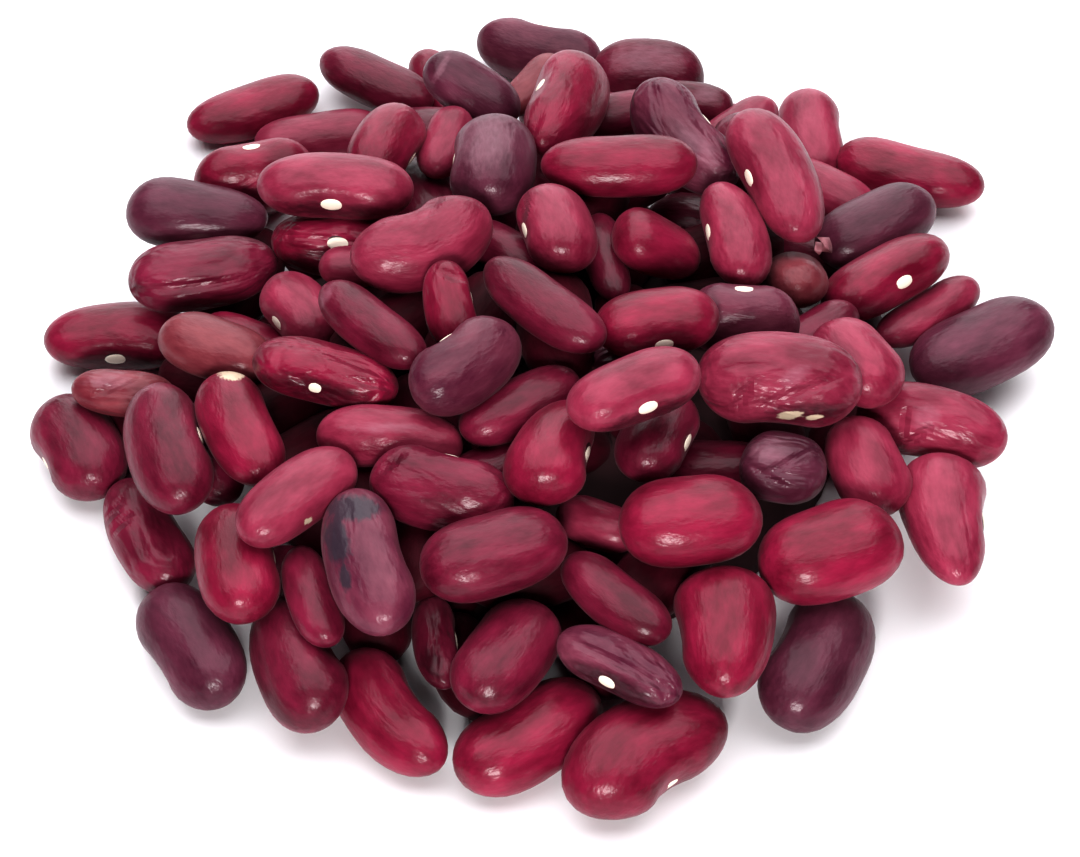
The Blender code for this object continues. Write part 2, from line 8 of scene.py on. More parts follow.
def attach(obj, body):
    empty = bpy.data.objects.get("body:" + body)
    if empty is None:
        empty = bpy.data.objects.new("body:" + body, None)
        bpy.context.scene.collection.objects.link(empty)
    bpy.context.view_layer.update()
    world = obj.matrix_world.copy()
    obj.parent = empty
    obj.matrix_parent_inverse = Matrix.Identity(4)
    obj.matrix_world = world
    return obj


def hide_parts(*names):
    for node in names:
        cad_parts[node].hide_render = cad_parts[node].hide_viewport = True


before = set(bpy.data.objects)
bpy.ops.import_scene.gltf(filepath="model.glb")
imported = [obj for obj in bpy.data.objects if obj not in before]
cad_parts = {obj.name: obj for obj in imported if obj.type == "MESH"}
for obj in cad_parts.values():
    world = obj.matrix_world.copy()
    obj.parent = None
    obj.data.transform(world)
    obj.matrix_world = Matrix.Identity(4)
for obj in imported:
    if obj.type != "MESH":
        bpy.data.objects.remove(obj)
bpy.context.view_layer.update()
print("packed heap loaded")

mm = 0.001

# How the photograph looks at the heap: a long lens from the front, well above it
view = {
    "middlePx": (540.0, 428.5),
    "widthPx": 1080,
    "focalPx": 4130.0,
    "distance": 450.0,  # mm
    "down": 48.0,       # degrees below the horizon
    "aim": (0.0, -3.0, 4.0),
    "sightSpan": (0.6, 1.4),  # of the distance, where a line of sight is searched
    "sightSteps": 50,
    "sensor": 36.0,
    "clipStart": 0.01,  # m
}

# The heap as a low dome, in mm
heap = {
    "radius": 51.0,
    "rise": 18.0,
    "middleY": 3.0,
    "lowest": 3.4,
    "power": 2.2,
    "sink": 0.2,
}

# A usual bean
beanForm = {
    "thickness": 0.78,    # of its width
    "endFullness": 3.1,
    "usualBend": 26.0,
    "around": 32,
    "along": 20,
    "fillAround": 16,     # beans that hardly show are simpler
    "fillAlong": 10,
    "behind": 18.0,       # mm past the middle, where unseen beans have the usual skin
    "ballStations": (-0.66, -0.34, 0.0, 0.34, 0.66),  # of half its length
    "ringReach": 0.005,   # of half its length
}

# Beans out of sight, and how the whole heap settles
packing = {
    "seed": 7,
    "tries": 14000,
    "long": (14.0, 16.5),
    "wide": (7.6, 8.8),
    "depth": 5.6,
    "overlap": 1.9,
    "rounds": 260,
    "contact": 0.40,
    "sideGive": 0.10,
    "mostSide": 1.1,
    "mostSink": 2.5,
    "middleRadius": 34.0,
    "onTable": 6.0,
    "openingReach": 4.3,
    "lean": 0.60,
    "leanNear": 24.0,
    "leastLevel": 0.3,
    "close": 18.0,
    "strayOverlap": 1.6,
    "fillMargin": 3.0,
    "fillTilt": 12.0,     # degrees
    "lineShare": 0.3,     # shares of a bean's length on each side of its middle
    "openingShare": 0.4,
    "pairingEvery": 4,    # rounds
    "pairingMargin": 1.0,
    "press": 0.06,        # mm in each round
    "pressUntil": 0.7,    # of the rounds
    "pressShown": 0.8,
    "pressFill": 1.6,
    "fillGive": 2.0,
    "crowding": 0.45,
    "sideEase": 0.97,
}

# When a bean counts as hidden: how near a shown bean has to pass, how far out on the
# bean its end points are, and how many of its three points lie behind others
hidden = {
    "middle": {"reach": 5.0, "share": 0.36, "crossings": 2},
    "edge": {"reach": 3.9, "share": 0.45, "crossings": 3},
}

# Spots in the picture where the bare table shows between beans, in pixels
openings = ((190, 532), (240, 650), (441, 708), (670, 655), (787, 628), (905, 498),
            (992, 477), (130, 250))

# One row for each bean that shows: its middle in the picture in pixels, the turn
# of its long axis there, the rise of that axis, the turn of its seam side from
# the eye, length and breadth as seen in mm, height over the dome, bend of its
# body, and the kind of skin. A bean with its turn away lies flat, seam hidden.
away = None
beanColumns = ("acrossPx", "downPx", "spin", "rise", "turn", "long", "breadth", "over", "bend", "skin")
beanRows = [
    (249, 104, 19, 0, away, 16.4, 6.6, 0, 20, "r"),
    (378, 78, -25, 0, away, 15.5, 6.1, 0, 20, "m"),
    (317, 135, 8, 0, away, 15.5, 6.2, -2, 20, "p"),
    (255, 175, 10, 0, 62, 14.0, 8.2, 0, 24, "r"),
    (334, 185, -3, 0, -36, 17.3, 7.5, 3, 24, "p"),
    (384, 142, 58, -10, -90, 13.0, 7.5, 2, 20, "r"),
    (446, 86, -60, 0, away, 13.0, 5.5, -2, 20, "r"),
    (473, 83, -33, -20, away, 12.4, 6.8, 3, 20, "d"),
    (542, 51, -14, 0, 90, 15.5, 7.6, 0, 30, "g"),
    (644, 83, 0, 0, -90, 13.3, 9.5, 0, 20, "m"),
    (690, 104, -8, 0, -50, 10, 4.8, 0, 20, "m"),
    (737, 124, 35, 0, away, 11.4, 5.1, 0, 20, "p"),
    (690, 132, -52, -10, 90, 17.0, 8.2, 2, 56, "g"),
    (773, 177, -68, -5, -60, 19.2, 8.1, 3, 22, "p"),
    (818, 133, 95, 0, away, 14.0, 7.5, 0, 20, "p"),
    (909, 173, -14, 0, away, 17.6, 7.0, 0, 22, "r"),
    (832, 190, -30, 0, away, 13.0, 5.9, -3, 20, "p"),
    (876, 226, 28, 0, away, 15.5, 8.0, 1, 20, "d"),
    (889, 275, 28, 0, -22, 16.5, 6.9, 2, 20, "r"),
    (800, 279, -80, 38, away, 13.0, 7.2, -3, 20, "b"),
    (735, 232, -76, 0, -68, 15.2, 6.9, 0, 22, "p"),
    (745, 317, -3, 0, 66, 12.4, 8.0, 1, 26, "g"),
    (930, 312, 30, 0, away, 14.5, 5.1, -1, 20, "p"),
    (978, 343, 24, 0, away, 17.8, 8.9, 0, 20, "d"),
    (199, 216, -5, 0, away, 16.0, 7.6, 0, 20, "d"),
    (197, 272, 9, 0, away, 16.6, 8.0, 1, 22, "m"),
    (114, 338, 2, 0, -45, 16.5, 7.6, 0, 24, "r"),
    (213, 345, -18, 0, away, 13.2, 6.8, 3, 20, "b"),
    (125, 392, -5, 0, away, 11.5, 5.1, 0, 20, "b"),
    (250, 338, -20, 0, away, 12.0, 4.7, -4, 20, "r"),
    (296, 311, -48, 0, -60, 11.2, 6.9, -1, 28, "p"),
    (340, 242, -5, 0, 0, 16.0, 7.3, -1, 24, "r"),
    (419, 233, 22, 0, 100, 16.5, 9.1, 2, 88, "p"),
    (491, 161, 85, 0, away, 13.5, 9.7, 1, 16, "d"),
    (564, 102, 65, -10, 68, 18.2, 8.6, 3, 24, "r"),
    (532, 86, 50, 0, away, 11.0, 4.7, -1, 20, "b"),
    (619, 162, 1, 0, away, 17.4, 7.0, 2, 22, "r"),
    (554, 226, -68, 0, -66, 11.8, 8.0, 1, 30, "p"),
    (608, 255, -78, 0, away, 13.0, 4.7, -3, 20, "m"),
    (660, 243, -20, -35, away, 11.0, 6.6, -1, 12, "r"),
    (443, 140, 70, 0, away, 11.0, 5.5, -2, 20, "p"),
    (620, 115, 10, 0, away, 11.0, 5.5, -3, 20, "m"),
    (77, 448, -55, 0, -76, 14.2, 9.0, 0, 34, "m"),
    (173, 446, -70, 0, 90, 17.5, 8.6, 0, 26, "m"),
    (241, 427, -62, 0, away, 16.0, 7.6, 2, 22, "r"),
    (150, 538, -58, 0, away, 16.4, 7.6, 0, 22, "m"),
    (243, 564, -78, 0, away, 15.0, 8.6, 0, 20, "r"),
    (296, 497, 37, 0, -60, 15.5, 7.2, 3, 20, "p"),
    (315, 595, -68, 0, away, 13.5, 5.1, -1, 20, "m"),
    (370, 561, -72, 0, 90, 19.1, 8.5, 3, 22, "g"),
    (438, 645, -80, 0, away, 12.0, 4.8, 0, 20, "m"),
    (442, 488, -12, 0, 100, 15.5, 8.5, 1, 26, "m"),
    (493, 552, 16, 0, away, 15.6, 8.6, 2, 20, "m"),
    (388, 440, -5, 0, -90, 15.5, 7.0, -2, 20, "p"),
    (601, 523, -20, 0, away, 9.4, 5.1, -2, 20, "p"),
    (691, 518, 6, 0, away, 14.8, 9.3, 2, 16, "r"),
    (616, 598, -38, 0, away, 14.5, 5.9, 1, 20, "m"),
    (724, 632, 88, 0, away, 15.5, 10.1, 1, 10, "r"),
    (824, 553, 18, 0, away, 15.4, 10.0, 0, 20, "r"),
    (784, 466, -10, 0, away, 9.2, 7.5, 0, 10, "d"),
    (873, 459, -68, -10, away, 12.2, 8.0, 2, 16, "p"),
    (930, 429, -12, 0, -100, 16.5, 8.3, 0, 34, "p"),
    (948, 520, -84, 0, away, 17.0, 8.8, 0, 20, "p"),
    (815, 658, 58, 0, 90, 17.8, 10.2, 1, 20, "d"),
    (618, 668, -26, 0, -45, 14.5, 5.9, 0, 24, "g"),
    (505, 655, 52, 0, away, 14.5, 8.8, 0, 20, "m"),
    (530, 738, 31, 0, away, 17.6, 9.0, 0, 24, "r"),
    (650, 760, 29, 0, -68, 18.8, 10.3, 0, 80, "r"),
    (392, 712, -50, 0, 95, 17.5, 8.0, 0, 46, "r"),
    (300, 661, -62, 0, 76, 16.8, 8.8, 0, 28, "m"),
    (191, 651, -52, 0, -90, 16.5, 9.1, 0, 20, "d"),
    (373, 322, -38, 0, away, 15.5, 5.8, 2, 22, "m"),
    (463, 363, 37, 0, 95, 14.0, 8.2, 2, 38, "g"),
    (325, 372, -14, 0, -30, 16.3, 6.7, 1, 22, "r"),
    (450, 303, 100, 20, away, 10, 5.5, 0, 12, "r"),
    (352, 265, 0, 0, away, 7.5, 4.7, -2, 20, "p"),
    (543, 303, -37, 0, away, 17.0, 6.1, 2, 24, "m"),
    (507, 250, -30, 0, away, 11.0, 5.1, -3, 20, "m"),
    (520, 405, 27, 0, away, 14.5, 6.1, -1, 20, "m"),
    (657, 323, 8, 0, -45, 13.5, 7.3, 0, 26, "r"),
    (640, 352, 10, 0, away, 11.0, 4.7, -3, 20, "g"),
    (634, 391, 21, 0, -40, 15.0, 7.2, 2, 24, "p"),
    (778, 384, -4, 0, -80, 17.5, 10.1, 2, 26, "p"),
    (856, 365, -50, 0, away, 12.0, 8.0, 0, 20, "p"),
    (555, 450, 66, 0, -70, 13.5, 8.2, 1, 26, "r"),
    (654, 440, 60, 0, -65, 12, 7.4, -1, 20, "m"),
    (715, 465, 0, 0, away, 12.0, 5.5, -3, 20, "m"),
    (498, 465, 20, 0, away, 12.0, 5.5, -3, 20, "m"),
    (815, 332, 30, 0, away, 12.0, 5.1, -3, 20, "m"),
    (212, 452, -76, 0, away, 15.0, 6.5, -3, 20, "m"),
    (287, 597, -78, 0, away, 13.0, 6.5, -5, 20, "m"),
]
skinOf = {"r": "crimson", "p": "rosy", "m": "maroon", "d": "plum", "g": "mauve", "b": "russet"}


def viewAxes():
    down = math.radians(view["down"])
    across = np.array([1.0, 0.0, 0.0])
    up = np.array([0.0, math.sin(down), math.cos(down)])
    toward = np.array([0.0, -math.cos(down), math.sin(down)])
    return across, up, toward


across, up, toward = viewAxes()
eye = np.array(view["aim"]) + view["distance"] * toward


def domeHeight(x, y):
    reach = math.hypot(x, y - heap["middleY"]) / heap["radius"]
    return heap["lowest"] + heap["rise"] * max(0.0, 1.0 - reach ** heap["power"])


def placeOnDome(acrossPx, downPx, over):
    ray = ((acrossPx - view["middlePx"][0]) / view["focalPx"] * across
           - (downPx - view["middlePx"][1]) / view["focalPx"] * up - toward)
    ray = ray / np.linalg.norm(ray)
    near, far = (share * view["distance"] for share in view["sightSpan"])
    for _ in range(view["sightSteps"]):
        middle = (near + far) / 2
        point = eye + middle * ray
        if point[2] > max(heap["lowest"], domeHeight(point[0], point[1]) + over):
            near = middle
        else:
            far = middle
    return eye + near * ray


def turned(spin, rise, turn):
    # columns: long axis, seam side, flat side
    spin, rise = math.radians(spin), math.radians(rise)
    seen = math.cos(spin) * across + math.sin(spin) * up
    slope = math.hypot(seen[2], toward[2])
    tip = math.asin(max(-1.0, min(1.0, math.sin(rise) / slope))) - math.atan2(seen[2], toward[2])
    longAxis = math.cos(tip) * seen + math.sin(tip) * toward
    face = toward - (toward @ longAxis) * longAxis
    face = face / np.linalg.norm(face)
    other = np.cross(face, longAxis)
    if turn is away:
        turn = math.atan2(-face[2], other[2])
        turn = turn + math.pi if math.cos(turn) > 0 else turn
    else:
        turn = math.radians(turn)
    seam = math.cos(turn) * face + math.sin(turn) * other
    axes = np.stack([longAxis, seam, np.cross(longAxis, seam)], axis=1)
    return axes, math.hypot(math.sin(turn), beanForm["thickness"] * math.cos(turn))


def touchBalls(bean):
    # two rows of balls stand for a bean while the heap settles
    stations = np.array(beanForm["ballStations"])
    swell = np.sqrt(1 - np.abs(stations) ** beanForm["endFullness"])
    radius = bean["wide"] * beanForm["thickness"] / 2 * swell
    side = bean["wide"] / 2 * swell - radius
    bend = math.radians(bean["bend"])
    arc = bean["long"] / bend
    run = arc * np.sin(bend * stations / 2)
    sag = arc * (1 - np.cos(bend * stations / 2)) - arc * (1 - math.cos(bend / 2)) / 2
    low = np.stack([run, sag - side, 0 * run], axis=1)
    high = np.stack([run, sag + side, 0 * run], axis=1)
    return np.concatenate([low, high]) @ bean["axes"].T, np.concatenate([radius, radius])


def giveBalls(bean):
    offsets, radii = touchBalls(bean)
    bean["balls"] = (offsets + bean["place"], radii)


def readBeans():
    beans = []
    for row in beanRows:
        bean = dict(zip(beanColumns, row))
        bean["place"] = placeOnDome(bean["acrossPx"], bean["downPx"], bean["over"])
        bean["axes"], partSeen = turned(bean["spin"], bean["rise"], bean["turn"])
        bean["wide"] = bean["breadth"] / partSeen
        bean["shows"] = True
        beans.append(bean)
    return beans


def deepest(first, second):
    gap = second[0][None, :, :] - first[0][:, None, :]
    far = np.linalg.norm(gap, axis=2)
    into = first[1][:, None] + second[1][None, :] - far
    return into.max()


def seenAt(point):
    offset = np.asarray(point) - eye
    depth = -(offset @ toward)
    spots = np.stack([offset @ across, offset @ up], axis=-1)
    return spots * (view["distance"] / depth)[..., None], depth


def shownLines(beans):
    showing = [bean for bean in beans if bean["shows"]]
    runs = np.array([bean["long"] * packing["lineShare"] * bean["axes"][:, 0] for bean in showing])
    spots = np.array([bean["place"] for bean in showing])
    ends = np.stack([seenAt(spots - runs)[0], seenAt(spots + runs)[0]], axis=1)
    return ends, seenAt(spots)[1]


def isHidden(bean, shown):
    outward = math.hypot(bean["place"][0], bean["place"][1] - heap["middleY"])
    rule = hidden["middle"] if outward < packing["middleRadius"] else hidden["edge"]
    run = bean["long"] * rule["share"] * bean["axes"][:, 0]
    points, depths = seenAt(np.stack([bean["place"] - run, bean["place"], bean["place"] + run]))
    ends, far = shown
    start, line = ends[:, 0], ends[:, 1] - ends[:, 0]
    off = points[:, None] - start[None]
    along = np.clip((off * line).sum(axis=2) / (line * line).sum(axis=1), 0, 1)
    miss = np.linalg.norm(off - along[..., None] * line, axis=2)
    behind = ((miss < rule["reach"]) & (far[None] < depths[:, None])).any(axis=1)
    return behind.sum() >= rule["crossings"]


def blocksOpening(bean):
    run = bean["long"] * packing["openingShare"] * bean["axes"][:, 0]
    ends = seenAt(np.stack([bean["place"] - run, bean["place"] + run]))[0]
    line = ends[1] - ends[0]
    spots = (np.array(openings) - view["middlePx"]) * (1, -1) * view["distance"] / view["focalPx"]
    along = np.clip((spots - ends[0]) @ line / (line @ line), 0, 1)
    miss = np.linalg.norm(spots - ends[0] - along[:, None] * line, axis=1)
    return miss.min() < packing["openingReach"]


def addFill(beans):
    draw = np.random.default_rng(packing["seed"])
    shown = shownLines(beans)
    for bean in beans:
        giveBalls(bean)
    for _ in range(packing["tries"]):
        angle = draw.uniform(0, 2 * math.pi)
        reach = (heap["radius"] - packing["fillMargin"]) * math.sqrt(draw.uniform(0, 1))
        x, y = reach * math.cos(angle), heap["middleY"] + reach * math.sin(angle)
        top = max(heap["lowest"], domeHeight(x, y) - packing["depth"])
        bean = {"long": draw.uniform(*packing["long"]), "wide": draw.uniform(*packing["wide"]),
                "bend": beanForm["usualBend"], "shows": False,
                "place": np.array([x, y, draw.uniform(heap["lowest"], top + 0.01)]),
                "axes": turned(draw.uniform(-180, 180),
                               draw.uniform(-packing["fillTilt"], packing["fillTilt"]), away)[0]}
        if not isHidden(bean, shown) or blocksOpening(bean):
            continue
        giveBalls(bean)
        close = [other for other in beans
                 if np.linalg.norm(other["place"] - bean["place"]) < packing["close"]]
        if all(deepest(bean["balls"], other["balls"]) < packing["overlap"] for other in close):
            beans.append(bean)
    return beans


def settle(beans):
    # push beans apart and down until they lie on each other and on the table
    count = len(beans)
    places = np.array([bean["place"] for bean in beans])
    start = places.copy()
    parts = [touchBalls(bean) for bean in beans]
    offsets = np.array([part[0] for part in parts])
    radii = np.array([part[1] for part in parts])
    shows = np.array([bean["shows"] for bean in beans])
    along = np.outer(toward, toward)
    give = np.where(shows[:, None, None], along + packing["sideGive"] * (np.eye(3) - along),
                    packing["fillGive"] * np.eye(3))
    length = np.array([bean["long"] for bean in beans])
    lift = np.where(shows[:, None], toward / toward[2], np.array([0.0, 0.0, 1.0]))
    for step in range(packing["rounds"]):
        if step % packing["pairingEvery"] == 0:
            apart = np.linalg.norm(places[:, None] - places[None], axis=2)
            close = apart < (length[:, None] + length[None]) / 2 + packing["pairingMargin"]
            one, two = np.nonzero(np.triu(close, 1))
        press = packing["press"] if step < packing["rounds"] * packing["pressUntil"] else 0.0
        above = (places - start) @ toward > -packing["mostSink"]
        pressing = np.where(shows, packing["pressShown"] * above, packing["pressFill"])
        places = places - press * lift * pressing[:, None]
        balls = places[:, None] + offsets
        gap = balls[two][:, None, :, :] - balls[one][:, :, None, :]
        far = np.linalg.norm(gap, axis=3) + 1e-9
        into = radii[one][:, :, None] + radii[two][:, None, :] - far - packing["contact"]
        into = into.reshape(len(one), -1)
        worst = into.argmax(axis=1)
        depth = into[np.arange(len(one)), worst]
        way = (gap / far[..., None]).reshape(len(one), -1, 3)[np.arange(len(one)), worst]
        hit = depth > 0
        first, second, depth, way = one[hit], two[hit], depth[hit], way[hit]
        ease = np.einsum("ni,nij,nj->n", way, give[first] + give[second], way)
        pull = (depth / ease)[:, None]
        move = np.zeros((count, 3))
        times = np.zeros(count)
        np.add.at(move, first, -np.einsum("nij,nj->ni", give[first], way) * pull)
        np.add.at(move, second, np.einsum("nij,nj->ni", give[second], way) * pull)
        np.add.at(times, first, 1)
        np.add.at(times, second, 1)
        places = places + move / np.maximum(1.0, packing["crowding"] * times)[:, None]
        drift = places - start
        aside = drift - (drift @ toward)[:, None] * toward
        size = np.linalg.norm(aside, axis=1)
        tooFar = shows & (size > packing["mostSide"])
        trim = np.where(tooFar, packing["mostSide"] / np.maximum(size, 1e-9), 1.0)
        trim = np.where(shows, trim * packing["sideEase"], 1.0)
        places = places - aside * (1 - trim)[:, None]
        sunk = -((places[:, None] + offsets)[:, :, 2] - radii).min(axis=1)
        places = places + np.maximum(sunk, 0.0)[:, None] * lift
    for bean, place in zip(beans, places):
        bean["place"] = place
    return beans


def dropStray(beans):
    for bean in beans:
        giveBalls(bean)
    shown = shownLines(beans)
    kept = [bean for bean in beans if bean["shows"]]
    for bean in beans:
        if bean["shows"]:
            continue
        outward = math.hypot(bean["place"][0], bean["place"][1] - heap["middleY"])
        if blocksOpening(bean) or outward > packing["middleRadius"] and not isHidden(bean, shown):
            continue
        close = [other for other in kept
                 if np.linalg.norm(other["place"] - bean["place"]) < packing["close"]]
        if all(deepest(bean["balls"], other["balls"]) < packing["strayOverlap"] for other in close):
            kept.append(bean)
    return kept


def leanTogether(beans):
    # a bean that touches nothing slides against the nearest of the others
    order = sorted(beans, key=lambda bean: np.linalg.norm(bean["place"] - (0.0, heap["middleY"], 0.0)))
    held, waiting = order[:1], order[1:]
    overlaps = [deepest(bean["balls"], held[0]["balls"]) for bean in waiting]
    nearest = [held[0]] * len(waiting)
    while waiting:
        pick = int(np.argmax(overlaps))
        bean, overlap, other = waiting.pop(pick), overlaps.pop(pick), nearest.pop(pick)
        if overlap < packing["lean"]:
            gap = other["balls"][0][None] - bean["balls"][0][:, None]
            far = np.linalg.norm(gap, axis=2)
            into = bean["balls"][1][:, None] + other["balls"][1][None] - far
            one, two = np.unravel_index(into.argmax(), into.shape)
            way = gap[one, two] / far[one, two]
            if bean["place"][2] < packing["onTable"]:
                level = max(packing["leastLevel"], way[0] ** 2 + way[1] ** 2)
                way = way * np.array([1.0, 1.0, 0.0]) / level
            shift = way * (packing["lean"] - overlap)
            bean["place"] = bean["place"] + shift
            bean["balls"] = (bean["balls"][0] + shift, bean["balls"][1])
        held.append(bean)
        for number, rest in enumerate(waiting):
            if np.linalg.norm(rest["place"] - bean["place"]) < packing["leanNear"]:
                deep = deepest(rest["balls"], bean["balls"])
                if deep > overlaps[number]:
                    overlaps[number], nearest[number] = deep, bean
    return beans


def centreOf(beans):
    low = np.min([(bean["balls"][0] - bean["balls"][1][:, None]).min(axis=0) for bean in beans], axis=0)
    high = np.max([(bean["balls"][0] + bean["balls"][1][:, None]).max(axis=0) for bean in beans], axis=0)
    return (low + high) / 2


beans = leanTogether(dropStray(settle(addFill(readBeans()))))
middle = centreOf(beans)
shift = np.array([middle[0], middle[1], heap["sink"]])
for bean in beans:
    bean["place"] = bean["place"] - shift
print("heap settled:", len(beans), "beans")


def pickOnly(piece):
    if bpy.context.object and bpy.context.object.mode != "OBJECT":
        bpy.ops.object.mode_set(mode="OBJECT")
    bpy.ops.object.select_all(action="DESELECT")
    piece.select_set(True)
    bpy.context.view_layer.objects.active = piece


def applyModifier(piece, kind, **settings):
    pickOnly(piece)
    modifier = piece.modifiers.new(kind.title(), kind)
    for name, value in settings.items():
        setattr(modifier, name, value)
    bpy.ops.object.modifier_apply(modifier=modifier.name)


def selectWhere(piece, test):
    # picks vertices by their place, with the piece left in edit mode
    pickOnly(piece)
    bpy.ops.object.mode_set(mode="EDIT")
    bpy.ops.mesh.select_mode(type="VERT")
    bpy.ops.mesh.select_all(action="DESELECT")
    bpy.ops.object.mode_set(mode="OBJECT")
    for vert in piece.data.vertices:
        vert.select = test(vert.co)
    bpy.ops.object.mode_set(mode="EDIT")


def makeBeanModel(around, along):
    # a ball with fuller ends and a dent where the seam scar sits
    bpy.ops.object.select_all(action="DESELECT")
    bpy.ops.mesh.primitive_uv_sphere_add(segments=around, ring_count=along,
                                         radius=1.0, rotation=(0, math.pi / 2, 0))
    model = bpy.context.active_object
    bpy.ops.object.transform_apply(rotation=True)
    for ring in range(1, along):
        at = math.cos(math.pi * ring / along)
        full = math.sqrt(1 - abs(at) ** beanForm["endFullness"]) / math.sqrt(1 - at * at)
        selectWhere(model, lambda co: abs(co.x - at) < beanForm["ringReach"])
        bpy.ops.transform.resize(value=(1, full, full), center_override=(at, 0, 0))
    selectWhere(model, lambda co: abs(co.x) < scar["dentHalf"] and co.y > scar["dentFrom"])
    bpy.ops.transform.translate(value=(0, -scar["dent"], 0), use_proportional_edit=True,
                                proportional_edit_falloff="SMOOTH",
                                proportional_size=scar["dentSize"])
    bpy.ops.object.mode_set(mode="OBJECT")
    bpy.ops.object.shade_smooth()
    return model


# The pale oval scar in the middle of a bean's seam side, in mm
scar = {
    "long": 2.7,
    "wide": 1.45,
    "thick": 0.5,
    "proud": 0.10,
    "rim": 0.32,         # dark ring around it
    "rimSink": 0.12,
    "dent": 0.10,        # of half the bean's width
    "dentSize": 0.42,
    "dentHalf": 0.16,
    "dentFrom": 0.94,
    "around": 16,
    "along": 10,
    "rough": 0.55,
    "rimRough": 0.5,
    "colour": (0.88, 0.78, 0.66),
    "rimColour": (0.035, 0.004, 0.008),
}

# Small differences from bean to bean
variety = {
    "taper": 0.10,
    "shade": 0.12,       # share by which the skin is lighter or darker
    "lump": 0.30,        # mm
    "lumpSize": 7.0,     # mm
    "seed": 21,
    "drift": 500.0,      # mm, how far apart beans take their grain
    "wrinkle": 0.35,
    "fillWrinkle": 0.3,
}

# Rows whose scar is worn away or under a mark
scarless = {44, 47, 49, 57, 63, 66, 68, 70, 82}

beanModel = makeBeanModel(beanForm["around"], beanForm["along"])
fillModel = makeBeanModel(beanForm["fillAround"], beanForm["fillAlong"])
draw = np.random.default_rng(variety["seed"])
kinds = {}
scars, rims = [], []


def placedAt(bean):
    bend = math.radians(bean["bend"])
    sag = bean["long"] / bend * (1 - math.cos(bend / 2)) / 2
    place = bean["place"] - sag * bean["axes"][:, 1]
    turn = Matrix([list(row) + [0.0] for row in bean["axes"]] + [[0, 0, 0, 1]])
    return Matrix.Translation([value * mm for value in place]) @ turn


def copyOf(model, name):
    piece = model.copy()
    piece.data = model.data.copy()
    piece.name = name
    bpy.context.collection.objects.link(piece)
    return piece


def giveValue(piece, name, values):
    held = piece.data.attributes.new(name, "FLOAT", "POINT")
    held.data.foreach_set("value", np.broadcast_to(values, len(piece.data.vertices)))


# How deeply the coat of some beans is wrinkled, by row
wrinkled = {12: 1.2, 25: 1.0, 28: 1.2, 31: 1.4, 32: 0.4, 34: 0.3, 45: 0.8, 49: 0.5, 50: 1.0, 51: 0.7,
            59: 1.3, 61: 0.8, 64: 1.4, 72: 0.5, 73: 1.6, 74: 0.9, 80: 1.2, 82: 1.0}

# Beans with one end clearly slimmer; a positive value slims the start of the axis
tapered = {0: 0.12, 24: -0.4, 12: -0.1, 13: -0.18, 15: -0.12, 20: 0.15, 26: 0.2, 34: 0.3, 36: 0.15, 39: -0.4,
           45: 0.15, 57: 0.45, 60: 0.15, 62: -0.6, 67: -0.15, 68: -0.15, 69: 0.3, 74: -0.2, 84: -0.5}

